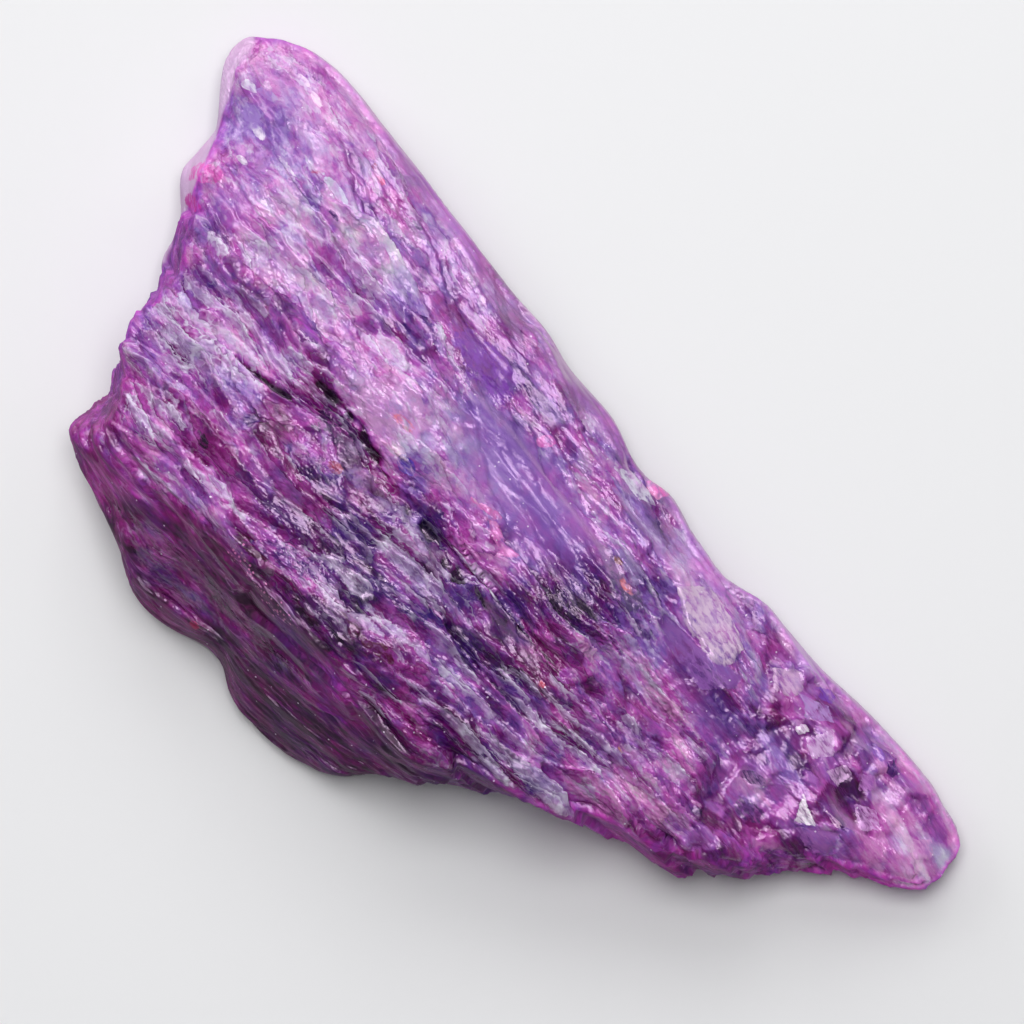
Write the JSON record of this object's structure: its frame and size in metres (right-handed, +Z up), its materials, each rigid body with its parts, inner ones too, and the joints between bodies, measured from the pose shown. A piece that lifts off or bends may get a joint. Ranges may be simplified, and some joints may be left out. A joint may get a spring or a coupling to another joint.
{
  "type": "rough sapphire crystal",
  "caption": "Uncut wedge of purple sapphire with a splintery grained face, a steep broken wall, a thin long edge and a narrow tip, lying on a flat broken base.",
  "frame": {"origin": "on the resting face's plane, below the middle of the stone's bounding box", "axes": "+X along the stone from the blunt broken end to the narrow tip, +Y towards the long thin edge, +Z up from the resting face"},
  "size_m": [0.048, 0.0216, 0.01],
  "materials": {
    "sapphire": "rough broken corundum, glassy on the grain's ridges, purple with magenta, violet and milky pink patches"
  },
  "bodies": {
    "root": {"sapphire_crystal": "sapphire"}
  },
  "joints": []
}
